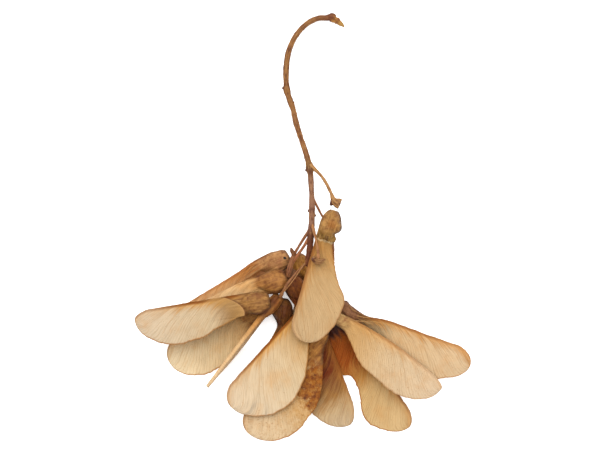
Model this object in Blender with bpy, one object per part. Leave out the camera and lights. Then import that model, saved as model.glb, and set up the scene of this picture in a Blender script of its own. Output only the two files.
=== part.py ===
"""A dried bunch of fourteen maple samaras on one curved stem, lying flat on a table.

Lengths are in millimetres until the meshes are made. +Y points from the fruit to the bare end
of the stem, +Z is up, and the table is z = 0.
"""

import math
from dataclasses import dataclass

import bmesh
import bpy
import numpy as np
from mathutils import Vector

MM = 0.001

# Where the origin lies, so that it is under the middle of the whole bunch
SHIFT = (0.18, -0.03)

# Sizes that all the samaras share
BLADE = 0.6  # thickness of the papery wing
RIB = 0.5  # what the leading edge adds to that thickness
RIB_WIDTH = 1.6
PIVOT = 2.8  # distance from the leading edge to the line that a wing is rolled about
BASE_ROUND = 0.92  # how far the inner end of the nutlet is rounded, where 1 is to a point
LEAD_ROUND = 0.86  # share of the length where the leading edge begins to round off
TRAIL_ROUND = 0.66  # the same for the trailing edge
HEIGHT_AT = (0.0, 0.3, 0.65, 1.0)
ACROSS = (0.0, 0.07, 0.2, 0.4, 0.6, 0.8, 1.0)
ALONG = (0.0, 0.045, 0.1, 0.155, 0.2, 0.24, 0.3, 0.38, 0.47, 0.57, 0.66, 0.75, 0.83, 0.9, 0.95, 0.98,
         0.995)

# The stem. A twig is a row of points, each x, y, z and radius
TUBE_SIDES = 2  # steps round each quarter of a twig
TUBE_STEPS = 3  # steps between two points
SCAR_RADIUS = (0.45, 0.35)
STALK = (
    (11.2, 56.2, 0.25, 0.25), (10.2, 56.9, 0.45, 0.75), (9.2, 57.7, 0.5, 1.0), (8.3, 58.1, 0.55, 0.8),
    (7.6, 58.6, 0.6, 1.05), (6.4, 58.5, 0.75, 0.7), (4.2, 58.4, 1.0, 0.62), (1.4, 57.2, 1.3, 0.64),
    (-1.8, 54.1, 1.8, 0.66), (-4.0, 49.8, 2.3, 0.7), (-5.0, 43.6, 3.0, 0.78), (-4.4, 37.4, 3.8, 0.68),
    (-3.2, 32.4, 4.4, 0.66), (-1.3, 26.0, 5.2, 0.66), (0.7, 19.9, 6.0, 0.68), (1.9, 13.5, 6.8, 0.7),
    (2.2, 6.5, 7.6, 0.72), (2.1, 0.8, 8.2, 0.76), (1.7, -5.0, 8.3, 0.74), (0.8, -10.4, 8.3, 0.7),
)
PEDICELS = (
    ((1.7, 16.8, 6.5, 0.5), (4.3, 14.8, 7.2, 0.4), (6.7, 11.2, 8.0, 0.42), (8.1, 8.4, 8.6, 0.5),
     (8.8, 7.5, 8.8, 0.9), (9.6, 6.6, 9.0, 1.25)),
    ((2.2, 8.6, 7.4, 0.4), (4.3, 4.4, 7.0, 0.3), (7.6, -2.0, 6.6, 0.32), (8.1, -9.2, 6.6, 0.34),
     (7.6, -16.0, 6.4, 0.5)),
    ((1.9, -0.2, 8.2, 0.4), (-1.2, -5.0, 8.0, 0.36), (-2.8, -8.0, 7.8, 0.5), (-3.6, -10.2, 7.9, 0.6),
     (-4.0, -12.2, 8.3, 0.9)),
    ((1.7, -2.6, 8.2, 0.4), (-0.6, -6.2, 8.1, 0.34), (-2.8, -9.2, 7.9, 0.5), (-3.6, -10.6, 8.0, 0.5)),
    ((1.0, -9.6, 8.4, 0.4), (-2.5, -13.1, 9.2, 0.32), (-4.5, -15.6, 9.6, 0.34), (-6.0, -18.2, 9.0, 0.4),
     (-6.4, -19.0, 8.4, 0.8)),
    ((2.3, 0.6, 8.6, 0.4), (3.1, -2.6, 11.0, 0.32), (3.8, -5.6, 12.2, 0.36), (4.1, -7.9, 13.0, 0.45),
     (4.15, -8.6, 13.3, 1.0), (4.15, -9.6, 13.4, 1.4)),
)
SCARS = (  # x, y and z of each scar and how far it stands out, to the right where positive
    (-5.0, 38.7, 3.7, -0.95), (-3.7, 34.6, 4.1, 0.85), (-1.9, 29.2, 4.8, -0.8), (1.4, 15.8, 6.5, -0.9),
    (2.2, 4.5, 7.8, -0.95), (2.2, 3.2, 7.9, 0.95),
)


@dataclass(frozen=True)
class Samara:
    """One winged fruit. start and tip are the ends of its leading edge, seen from above."""

    name: str
    start: tuple
    tip: tuple
    trails_left: bool  # whether the trailing edge is on the left on the way out from the nutlet
    wing: tuple  # pairs of share of the length and width
    heights: tuple  # height of the pivot line at HEIGHT_AT
    nutlet: tuple = (8.0, 6.0, 4.2)  # length, width and thickness
    point: float = 4.0  # how far the outermost point is from the leading edge
    roll: tuple = (0.0, 0.0)  # degrees at nutlet and tip, positive with the trailing edge up
    bow: float = 0.0  # how far the leading edge bulges outward halfway
    camber: float = 0.4


SAMARAS = (
    Samara("samara_left_back", (-5.9, -5.1), (-37.5, -24.1), True,
           ((0.24, 5.4), (0.4, 6.6), (0.55, 8.0), (0.7, 8.8)), (4.6, 4.0, 3.4, 2.8), nutlet=(8.6, 6.4, 4.1)),
    Samara("samara_left_middle", (-6.3, -10.8), (-38.6, -26.6), True,
           ((0.24, 5.4), (0.4, 6.6), (0.55, 7.6), (0.7, 8.0)), (7.0, 6.4, 5.2, 4.4), nutlet=(8.4, 6.8, 4.2),
           bow=0.9),
    Samara("samara_left_front", (-9.9, -17.2), (-47.4, -23.5), True,
           ((0.22, 5.2), (0.35, 6.8), (0.52, 10.2), (0.65, 11.4)), (9.85, 8.4, 7.1, 5.8),
           nutlet=(8.2, 6.4, 4.2), point=2.5),
    Samara("samara_left_under", (-11.8, -18.2), (-40.1, -33.5), True,
           ((0.24, 7.6), (0.4, 10.4), (0.6, 12.8), (0.7, 13.1)), (3.1, 1.9, 0.5, 0.2), nutlet=(8.0, 6.6, 4.2),
           point=5.0, camber=0.15),
    Samara("samara_left_upright", (-8.8, -17.25), (-29.1, -42.55), True,
           ((0.24, 4.4), (0.4, 6.6), (0.55, 8.6), (0.68, 9.6)), (5.15, 6.2, 7.0, 6.6),
           nutlet=(7.2, 4.6, 2.9), point=3.0, roll=(-80.0, -87.0), camber=0.2),
    Samara("samara_centre_front", (5.6, 5.4), (-4.6, -30.4), True,
           ((0.24, 4.9), (0.38, 7.0), (0.5, 9.2), (0.6, 12.0), (0.72, 12.4)), (8.6, 10.4, 11.0, 10.2),
           nutlet=(8.6, 5.8, 4.4), point=5.0),
    Samara("samara_lower_left", (3.6, -17.1), (-23.6, -47.0), True,
           ((0.24, 6.4), (0.4, 11.3), (0.5, 14.0), (0.62, 15.6)), (7.5, 7.6, 6.9, 5.2), point=4.7),
    Samara("samara_lower_left_back", (-2.7, -20.2), (-6.2, -51.2), False,
           ((0.24, 4.0), (0.36, 5.0), (0.5, 7.0), (0.65, 9.4)), (2.4, 1.8, 1.4, 1.2), nutlet=(7.8, 6.2, 4.0)),
    Samara("samara_lower_middle", (3.6, -26.6), (-19.1, -54.6), True,
           ((0.24, 9.2), (0.35, 12.0), (0.48, 14.2), (0.65, 14.9)), (5.7, 5.5, 4.6, 3.4), point=4.8),
    Samara("samara_lower_middle_back", (-0.9, -13.2), (15.5, -54.2), False,
           ((0.24, 5.0), (0.4, 7.6), (0.6, 11.2), (0.75, 12.5)), (5.6, 3.0, 2.8, 2.4),
           nutlet=(6.8, 5.2, 3.8), point=3.2),
    Samara("samara_centre_back", (1.0, -7.0), (6.6, -36.0), False,
           ((0.24, 4.0), (0.4, 5.6), (0.6, 8.0), (0.75, 8.6)), (3.0, 1.35, 0.8, 0.8),
           nutlet=(7.2, 5.8, 3.8)),
    Samara("samara_lower_right_torn", (9.0, -22.4), (31.9, -54.3), False,
           ((0.2, 7.4), (0.3, 9.0), (0.4, 10.5), (0.45, 7.8), (0.54, 7.6), (0.64, 9.2), (0.73, 11.5)),
           (2.1, 1.7, 0.6, 0.2), nutlet=(6.8, 6.2, 3.3), point=3.2, camber=0.15),
    Samara("samara_right_front", (7.0, -22.2), (39.1, -43.7), False,
           ((0.2, 5.0), (0.3, 7.1), (0.4, 9.5), (0.6, 10.9)), (8.4, 6.9, 5.6, 4.6),
           nutlet=(7.6, 5.6, 4.0), point=1.4, bow=1.6),
    Samara("samara_right_back", (9.5, -19.8), (47.9, -34.6), False,
           ((0.24, 5.0), (0.4, 7.6), (0.55, 10.0), (0.68, 11.3)), (4.8, 4.3, 3.5, 2.8),
           nutlet=(8.0, 5.2, 3.3), point=4.4, bow=-0.6),
)


def smooth(x, knots, values):
    """A curve through the values at the knots, read at x."""
    knots = np.asarray(knots, float)
    values = np.asarray(values, float)
    slopes = np.gradient(values, knots)
    left = np.clip(np.searchsorted(knots, x, side="right") - 1, 0, len(knots) - 2)
    gap = knots[left + 1] - knots[left]
    t = (x - knots[left]) / gap
    rise = values[left + 1] - values[left]
    bend_in = gap * slopes[left] - rise
    bend_out = rise - gap * slopes[left + 1]
    return values[left] + rise * t + t * (1 - t) * ((1 - t) * bend_in + t * bend_out)


def outline(samara, along):
    """Distances of the leading and trailing edges from the straight leading line."""
    length, width, _ = samara.nutlet
    reach = math.dist(samara.start, samara.tip)
    knots = [0.0, 0.5 * length / reach]
    widths = [width, width]
    for share, value in samara.wing:
        knots.append(share)
        widths.append(value)
    knots.append(1.0)
    widths.append(samara.wing[-1][1])
    full = smooth(along, knots, widths)
    to_end = np.clip(1 - along * reach / (0.5 * length), 0, 1)
    base_fall = np.sqrt(1 - (BASE_ROUND * to_end) ** 2)
    lead_fall = np.sqrt(1 - np.clip((along - LEAD_ROUND) / (1 - LEAD_ROUND), 0, 1) ** 2)
    trail_fall = np.sqrt(1 - np.clip((along - TRAIL_ROUND) / (1 - TRAIL_ROUND), 0, 1) ** 2)
    lead = samara.point * (1 - lead_fall) + 0.5 * width * (1 - base_fall)
    trail = samara.point + (full - samara.point) * trail_fall - 0.5 * width * (1 - base_fall)
    return lead, trail


def half_thickness(samara, along, across, from_lead):
    """Half the thickness of the fruit: wing, leading rib and the swollen nutlet."""
    length, _, thickness = samara.nutlet
    reach = math.dist(samara.start, samara.tip)
    lengthwise = (along * reach - 0.45 * length) / (0.55 * length)
    swelling = np.sqrt(np.clip(1 - lengthwise**2 - (2 * across - 1) ** 2, 0, 1))
    nutlet = (0.5 * thickness - 0.5 * BLADE) * swelling
    rib = 0.5 * RIB * np.exp(-((from_lead / RIB_WIDTH) ** 2)) * np.clip(1.3 - along, 0, 1)
    return 0.5 * BLADE + np.maximum(nutlet, rib)


def place(samara, along, sideways, upward):
    """Points in space from distances along the wing, across it and out of its face."""
    start = np.array(samara.start) + SHIFT
    span = np.array(samara.tip) + SHIFT - start
    ahead = span / np.linalg.norm(span)
    side = np.array([-ahead[1], ahead[0]]) * (1 if samara.trails_left else -1)
    roll = np.radians(samara.roll[0] + (samara.roll[1] - samara.roll[0]) * along)
    height = smooth(along, HEIGHT_AT, samara.heights)
    lateral = PIVOT + (sideways - PIVOT) * np.cos(roll) - upward * np.sin(roll)
    lateral = lateral - samara.bow * np.sin(math.pi * along)
    x = start[0] + span[0] * along + side[0] * lateral
    y = start[1] + span[1] * along + side[1] * lateral
    z = height + (sideways - PIVOT) * np.sin(roll) + upward * np.cos(roll)
    return np.stack([x, y, np.maximum(z, 0)], axis=-1)


def samara_points(samara):
    """Two grids of points, the upper face and the lower one."""
    along, across = np.meshgrid(ALONG, ACROSS, indexing="ij")
    lead, trail = outline(samara, along)
    sideways = lead + (trail - lead) * across
    half = half_thickness(samara, along, across, sideways - lead)
    wing_share = np.clip((along - 0.2) / 0.2, 0, 1)
    middle = samara.camber * wing_share * 4 * across * (1 - across)
    upper = place(samara, along, sideways, middle + half)
    lower = place(samara, along, sideways, middle - half)
    return upper, lower


def closed_loft(upper, lower):
    """Points and triangles of the solid between two grids, split alike on both faces."""
    top = np.arange(upper[..., 0].size).reshape(upper.shape[:2])
    bottom = top + top.size
    faces = []

    def strip(first, second):
        for a, b, c, d in zip(first[:-1], second[:-1], second[1:], first[1:]):
            faces.extend([(a, b, c), (a, c, d)])

    for row in range(len(top) - 1):
        strip(top[row], top[row + 1])
        strip(bottom[row], bottom[row + 1])
    for end in (0, -1):
        strip(top[end], bottom[end])
        strip(top[:, end], bottom[:, end])
    return np.concatenate([upper.reshape(-1, 3), lower.reshape(-1, 3)]), faces


def mesh_object(name, points, faces):
    """A solid from points in millimetres and faces, with all its faces turned outward."""
    mesh = bpy.data.meshes.new(name)
    mesh.from_pydata([tuple(MM * value for value in point) for point in points], [], faces)
    piece = bpy.data.objects.new(name, mesh)
    bpy.context.scene.collection.objects.link(piece)
    work = bmesh.new()
    work.from_mesh(mesh)
    bmesh.ops.recalc_face_normals(work, faces=work.faces)
    work.to_mesh(mesh)
    work.free()
    return piece


def material(name, colour, roughness):
    """A plain material for one object."""
    made = bpy.data.materials.new(name)
    made.use_nodes = True
    shader = made.node_tree.nodes["Principled BSDF"]
    shader.inputs["Base Color"].default_value = (*colour, 1)
    shader.inputs["Roughness"].default_value = roughness
    return made


def add_samara(samara):
    """One samara as a solid with its own material."""
    piece = mesh_object(samara.name, *closed_loft(*samara_points(samara)))
    piece.data.materials.append(material(samara.name, (0.62, 0.42, 0.22), 0.6))
    return piece


def tube(name, points):
    """A round twig through the points, closed at both ends."""
    curve = bpy.data.curves.new(name, "CURVE")
    curve.dimensions = "3D"
    curve.bevel_depth = MM
    curve.bevel_resolution = TUBE_SIDES
    curve.resolution_u = TUBE_STEPS
    curve.use_fill_caps = True
    spline = curve.splines.new("BEZIER")
    spline.bezier_points.add(len(points) - 1)
    for knot, (x, y, z, radius) in zip(spline.bezier_points, points):
        knot.co = Vector((x + SHIFT[0], y + SHIFT[1], z)) * MM
        knot.radius = radius
        knot.handle_left_type = "AUTO"
        knot.handle_right_type = "AUTO"
    made = bpy.data.objects.new(name + "_curve", curve)
    bpy.context.scene.collection.objects.link(made)
    bpy.context.view_layer.update()
    mesh = bpy.data.meshes.new_from_object(made.evaluated_get(bpy.context.evaluated_depsgraph_get()))
    bpy.data.objects.remove(made)
    work = bmesh.new()
    work.from_mesh(mesh)
    bmesh.ops.remove_doubles(work, verts=work.verts, dist=1e-6)
    bmesh.ops.recalc_face_normals(work, faces=work.faces)
    work.to_mesh(mesh)
    work.free()
    piece = bpy.data.objects.new(name, mesh)
    bpy.context.scene.collection.objects.link(piece)
    return piece


def union(piece, other):
    """Join the other solid to the piece and remove it."""
    joined = piece.modifiers.new("join", "BOOLEAN")
    joined.operation = "UNION"
    joined.solver = "EXACT"
    joined.object = other
    bpy.context.view_layer.update()
    mesh = bpy.data.meshes.new_from_object(piece.evaluated_get(bpy.context.evaluated_depsgraph_get()))
    piece.modifiers.clear()
    piece.data = mesh
    bpy.data.objects.remove(other)


def add_stem():
    """The stalk with its pedicels and scars as one solid, flat where it lies on the table."""
    stem = tube("stem", STALK)
    for number, points in enumerate(PEDICELS):
        union(stem, tube(f"pedicel_{number}", points))
    for number, (x, y, z, reach) in enumerate(SCARS):
        inner, outer = SCAR_RADIUS
        union(stem, tube(f"scar_{number}", ((x, y, z, inner), (x + reach, y - 0.1, z, outer))))
    for vertex in stem.data.vertices:
        vertex.co.z = max(vertex.co.z, 0)
    stem.data.materials.clear()
    stem.data.materials.append(material("stem", (0.32, 0.17, 0.08), 0.55))
    return stem


for old in list(bpy.data.objects):
    bpy.data.objects.remove(old)

bunch = bpy.data.collections.new("maple_samara_bunch")
bpy.context.scene.collection.children.link(bunch)
for piece in [add_stem()] + [add_samara(samara) for samara in SAMARAS]:
    bpy.context.scene.collection.objects.unlink(piece)
    bunch.objects.link(piece)
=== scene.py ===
"""The look of the dried bunch of maple samaras: fine wings with veins, nutlets, stem and light.

The tables of samaras and twigs follow the solid model's, in millimetres, with small changes of
form. Every mesh is made in metres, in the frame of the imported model.
"""

import math
from dataclasses import dataclass

import bpy
import numpy as np
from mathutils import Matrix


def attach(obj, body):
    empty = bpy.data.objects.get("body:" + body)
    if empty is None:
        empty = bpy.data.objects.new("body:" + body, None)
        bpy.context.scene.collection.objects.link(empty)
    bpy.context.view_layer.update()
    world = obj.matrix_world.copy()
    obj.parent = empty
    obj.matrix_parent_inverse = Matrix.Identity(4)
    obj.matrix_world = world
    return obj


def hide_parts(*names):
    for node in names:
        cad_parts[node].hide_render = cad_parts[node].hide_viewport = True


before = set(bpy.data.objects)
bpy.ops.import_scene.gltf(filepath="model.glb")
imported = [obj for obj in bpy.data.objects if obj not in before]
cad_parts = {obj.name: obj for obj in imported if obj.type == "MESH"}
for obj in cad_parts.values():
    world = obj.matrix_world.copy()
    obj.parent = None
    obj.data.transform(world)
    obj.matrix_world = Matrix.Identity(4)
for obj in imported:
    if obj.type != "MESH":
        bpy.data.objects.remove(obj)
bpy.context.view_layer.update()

MM = 0.001
SHIFT = (0.18, -0.03)  # added to the tables' x and y, as in the solid model

# Sizes that all the samaras share, as in the solid model
PIVOT = 2.8  # distance from the leading edge to the line that a wing is rolled about
LEAD_ROUND = 0.86  # share of the length where the leading edge begins to round off
TRAIL_ROUND = 0.66  # the same for the trailing edge
HEIGHT_AT = (0.0, 0.3, 0.65, 1.0)  # shares of the length at which a samara's heights are given

# The fine surface
STATIONS = 190  # rows of points along a samara
COLUMNS = 72  # points across it
RIB = 0.62  # thickness that the leading edge adds
RIB_WIDTH = 0.8
VEIN_STEP = 0.78  # distance between veins
VEIN_RELIEF = 0.022
WAVES = 0.2  # height of the broad waves of a wing
PUCKERS = 0.1  # height of the small ones along its veins

# Swellings and dips of the outline: distance from the nutlet's inner end, and reach to each side
WAIST = (9.0, 4.6)
SHOULDER = (2.4, 1.0)
COLLAR_BULGE = (4.6, 1.3)
COLLAR_NOTCH = (6.3, 0.5)
COLLAR_SWELL = 0.9  # share of the collar's height

# The curled inner corner of a wing that lies over its own neck
FOLD_START = 7.55  # along the wing, where the fold comes nearest to the nutlet
FOLD_CURVE = 0.2  # how fast the fold bends away from there
FOLD_ACROSS = 5.2  # across the wing, the same place
FOLD_LIFT = 0.4  # share of how far the corner stands out

PIT = (1.3, 2.6)  # centre of the painted pit shade: along the nutlet and across it

# Twigs
RING_STEP = 0.15
TWIG_SIDES = 24
TWIG_START = 0.01  # radius at which a twig begins
TWIG_SEED = 5000
STOUT = 1.06  # the fine twigs' radii as a share of the table's
STALK_STOUT = 1.17  # the same for the stalk and its scars
DOME = ((0.85, 0.3), (0.5, 0.6), (0.02, 0.7))  # shares of the last radius: outward and forward
BOWL = ((0.96, 0.1), (0.82, 0.02), (0.55, -0.2), (0.02, -0.3))
BOWL_LIP = 0.8  # rings narrower than this share are the inside of a bowl, darkened as painted shade

# What turns a photo colour into a surface colour under these lights
LIT = np.array([0.81, 0.85, 0.9])
VEIL = 0.013  # what the surface reflects besides its own colour
DARKEST = 0.4  # share of a photo colour that is kept where the veil would take more


@dataclass(frozen=True)
class Samara:
    """One winged fruit. start and tip are the ends of its leading edge, seen from above."""

    name: str
    start: tuple
    tip: tuple
    trails_left: bool
    wing: tuple  # shares of the length and the widths there
    heights: tuple  # at the shares in HEIGHT_AT
    nutlet: tuple = (8.0, 6.0, 4.2)  # length, width and thickness
    point: float = 4.0  # how far the tip lies from the straight leading line
    roll: tuple = (0.0, 0.0)  # degrees at the nutlet and at the tip
    bow: float = 0.0  # how far the middle of the wing is bent towards its leading side
    camber: float = 0.4  # how far the face of the wing is domed
    fan: float = 13.0  # how far along the wing a vein runs before it meets the trailing edge
    tone: tuple = (224, 190, 145)  # colours from 0 to 255: the wing
    neck: tuple = (192, 142, 86)  # its narrow inner part
    neck_end: float = 0.42  # share of the length where that colour has faded
    nut: tuple = (160, 112, 62)  # the nutlet
    stain: float = 0.0  # above 0 for a wing with brown rot
    knobs: float = 0.05  # height of the bumps on the nutlet
    membrane: float = 0.2  # thickness of the wing
    rim: float = 1.0  # strength of the dark leading line and of the rim
    specks: float = 0.3  # amount of dark specks
    collar: float = 0.0  # height of the torn skin round the neck
    lobe: float = 0.0  # how far the wing's inner corner stands out over the neck
    lines: float = 0.2  # strength of the dark streaks along the veins
    flat: float = 1.0  # share of the nutlet's thickness
    base_round: float = 0.92  # how far the inner end of the nutlet is rounded, where 1 is to a point
    creases: float = 0.0  # strength of the grey folds near the tip
    pit: float = 0.0  # strength of the painted shade of a pit at the inner end of the nutlet
    tip_band: float = 0.3  # what is left of the orange leading band at the tip
    fibres: float = 0.0  # strength of the lengthwise lines on the neck, and of the painted shade along its trailing side
    waist: float = 0.0  # how far the leading edge dips in beyond the nutlet
    waves: float = 1.0  # share of the wing's unevenness


SAMARAS = (
    Samara("samara_left_back", (-5.9, -5.1), (-37.5, -24.1), True,
           ((0.24, 5.4), (0.4, 6.6), (0.55, 8.0), (0.7, 8.8)), (4.6, 4.0, 3.4, 2.8),
           nutlet=(8.6, 6.4, 4.1), tone=(224, 172, 116), neck=(172, 110, 60), nut=(160, 113, 70),
           lines=0.35, rim=0.5, base_round=0.88, pit=1.0, fibres=0.6, waist=-0.45),
    Samara("samara_left_middle", (-6.3, -10.8), (-38.6, -26.6), True,
           ((0.24, 5.4), (0.4, 6.6), (0.55, 7.6), (0.7, 8.0)), (7.0, 6.4, 5.2, 4.4),
           nutlet=(8.4, 6.8, 4.2), bow=0.9, tone=(238, 194, 138), neck=(214, 164, 104), neck_end=0.3,
           nut=(150, 101, 55), lines=0.3, rim=0.12, base_round=0.78),
    Samara("samara_left_front", (-9.9, -17.2), (-47.4, -23.5), True,
           ((0.22, 5.2), (0.35, 6.8), (0.52, 10.1), (0.65, 10.9)), (9.85, 8.4, 7.1, 5.8),
           nutlet=(8.2, 6.4, 4.2), point=2.5, tone=(220, 190, 148), neck=(140, 100, 64), neck_end=0.34,
           nut=(148, 104, 58), lobe=0.9, lines=0.4, base_round=0.84, fibres=0.8),
    # its tone and neck are lighter than its own colour: painted light against the shade that the left
    # front wing casts on it
    Samara("samara_left_under", (-11.8, -18.2), (-40.1, -33.5), True,
           ((0.24, 7.6), (0.4, 10.4), (0.6, 12.8), (0.7, 13.1)), (3.1, 1.9, 0.5, 0.2),
           nutlet=(8.0, 6.6, 4.2), point=5.0, camber=0.15, tone=(240, 208, 156), neck=(228, 180, 118)),
    Samara("samara_left_upright", (-8.8, -17.25), (-29.1, -42.55), True,
           ((0.24, 4.4), (0.4, 6.6), (0.55, 8.6), (0.68, 9.6)), (5.15, 6.2, 7.0, 6.6),
           nutlet=(7.2, 4.6, 2.9), point=3.0, roll=(-75.0, -88.0), camber=0.2, tone=(226, 186, 134),
           neck=(192, 132, 72), neck_end=0.42, nut=(150, 98, 52), knobs=0.02, membrane=0.7, rim=0.12,
           flat=0.75, waves=0.25),
    Samara("samara_centre_front", (5.6, 5.4), (-4.6, -30.4), True,
           ((0.24, 4.9), (0.38, 7.0), (0.5, 9.2), (0.6, 12.0), (0.72, 12.4)), (8.6, 10.4, 11.0, 10.2),
           nutlet=(8.6, 5.8, 4.4), point=5.0, fan=22.0, tone=(212, 171, 118), neck=(200, 148, 86),
           nut=(148, 106, 60), knobs=0.38, collar=0.55, lines=0.15, rim=0.6, base_round=0.93),
    Samara("samara_lower_left", (3.6, -17.1), (-23.6, -47.0), True,
           ((0.24, 6.4), (0.4, 11.3), (0.5, 14.0), (0.62, 15.6)), (7.5, 7.6, 6.9, 5.2), point=4.7,
           fan=17.0, tone=(230, 198, 153), neck=(212, 164, 104), creases=0.6),
    # its dark nutlet and neck are its own colour with painted shade from the wings above it
    Samara("samara_lower_left_back", (-2.7, -20.2), (-6.2, -51.2), False,
           ((0.24, 4.0), (0.36, 5.0), (0.5, 7.0), (0.65, 9.4)), (2.4, 1.8, 1.4, 1.2),
           nutlet=(7.8, 6.2, 4.0), neck=(124, 82, 42), nut=(108, 68, 32), neck_end=0.5, knobs=0.12,
           fibres=0.7),
    # its nutlet colour is a little darker as painted shade under the tip of the centre front wing
    Samara("samara_lower_middle", (3.6, -26.6), (-19.1, -54.6), True,
           ((0.24, 9.2), (0.35, 12.0), (0.48, 14.2), (0.65, 14.9)), (5.7, 5.5, 4.6, 3.4), point=4.8,
           fan=17.0, tone=(228, 192, 142), neck=(214, 160, 98), neck_end=0.46, nut=(150, 100, 50),
           stain=1.0, specks=1.0, flat=0.7, lines=0.5, fibres=0.8),
    # its dark red-brown neck, reaching far along the wing, is its own colour with painted shade from the
    # neighbouring wings
    Samara("samara_lower_middle_back", (-1.0, -12.6), (15.5, -54.2), False,
           ((0.24, 5.0), (0.4, 7.6), (0.6, 11.0), (0.75, 13.1)), (5.6, 3.0, 2.8, 2.4),
           nutlet=(7.4, 6.0, 3.8), point=3.2, bow=0.5, tone=(206, 172, 126), neck=(120, 56, 0),
           neck_end=0.78, rim=0.5, nut=(122, 72, 36), lines=0.9, base_round=0.78),
    Samara("samara_centre_back", (1.0, -7.0), (6.6, -36.0), False,
           ((0.24, 4.0), (0.4, 5.6), (0.6, 8.0), (0.75, 8.6)), (3.0, 1.35, 0.8, 0.8),
           nutlet=(7.2, 5.8, 3.8), neck=(120, 72, 30), nut=(176, 122, 60)),
    # its amber neck and near-black nutlet are its own colour with painted shade from the right front wing
    # above it
    Samara("samara_lower_right_torn", (9.0, -22.4), (31.9, -54.3), False,
           ((0.2, 8.2), (0.3, 9.6), (0.4, 10.6), (0.45, 8.2), (0.54, 8.2), (0.64, 9.8), (0.73, 11.8)),
           (2.1, 1.7, 0.6, 0.2), nutlet=(6.8, 6.2, 3.3), point=3.2, camber=0.15, tone=(217, 175, 116),
           neck=(162, 82, 8), neck_end=0.5, nut=(70, 36, 12), lines=0.3),
    Samara("samara_right_front", (7.0, -22.2), (39.1, -43.7), False,
           ((0.2, 4.3), (0.3, 7.0), (0.4, 9.5), (0.6, 10.9)), (8.4, 6.9, 5.6, 4.6),
           nutlet=(7.6, 3.6, 4.0), point=1.4, bow=1.6, tone=(226, 191, 145), neck=(218, 170, 110),
           nut=(174, 134, 84), specks=0.6, flat=0.6, lines=0.15, rim=0.5),
    Samara("samara_right_back", (9.5, -19.8), (47.9, -34.6), False,
           ((0.24, 5.0), (0.4, 7.6), (0.55, 10.0), (0.68, 11.3)), (4.8, 4.3, 3.5, 2.8),
           nutlet=(8.0, 5.2, 3.3), point=4.4, bow=-0.6, tone=(223, 185, 135), neck=(130, 106, 74),
           neck_end=0.34, nut=(128, 88, 60), knobs=0.14, lines=0.7, rim=0.72, tip_band=1.0, fibres=0.7,
           waist=1.3),
)


@dataclass(frozen=True)
class Twig:
    """A stalk, a pedicel or a thread. Each point is x, y, z and radius."""

    points: tuple
    pedicel: float = 1.0  # 0 for the stalk's colours, 1 for a pedicel's
    red: float = 0.0  # share of the redder colour
    dark: float = 0.0  # share of the darkest colour
    cup: bool = False  # whether the twig ends in a bowl and not in a dome
    flutes: float = 0.05  # depth of the lengthwise grooves, as a share of the radius


STALK = Twig((
    (11.3, 55.9, 0.2, 0.08), (10.8, 56.45, 0.42, 0.38), (10.2, 56.9, 0.55, 0.62), (9.6, 57.4, 0.65, 0.72),
    (9.3, 57.65, 0.65, 0.95), (8.9, 57.85, 0.7, 0.74), (8.3, 58.1, 0.75, 0.84), (8.0, 58.4, 0.8, 1.1),
    (7.4, 58.6, 0.8, 1.0), (7.0, 58.6, 0.75, 0.78), (6.4, 58.5, 0.75, 0.72), (4.2, 58.4, 1.0, 0.64),
    (1.4, 57.2, 1.3, 0.66), (-1.8, 54.1, 1.8, 0.66), (-4.0, 49.8, 2.3, 0.7), (-5.0, 43.6, 3.0, 0.78),
    (-4.9, 39.6, 3.5, 0.74), (-4.8, 38.3, 3.7, 0.94), (-4.5, 37.0, 3.9, 0.74), (-3.6, 34.4, 4.1, 0.78),
    (-3.1, 33.0, 4.3, 0.64), (-2.3, 29.3, 4.8, 0.76), (-1.3, 26.0, 5.2, 0.66), (0.7, 19.9, 6.0, 0.7),
    (1.4, 17.2, 6.3, 0.8), (1.6, 15.9, 6.5, 0.98), (1.8, 14.6, 6.7, 0.76), (1.95, 12.5, 6.9, 0.66),
    (2.2, 6.5, 7.6, 0.72), (2.2, 3.9, 7.9, 0.8), (2.1, 0.8, 8.2, 0.74), (1.9, -1.6, 8.3, 0.9),
    (1.7, -5.0, 8.3, 0.74), (0.8, -10.4, 8.3, 0.66)), pedicel=0.0, flutes=0.07)

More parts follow.
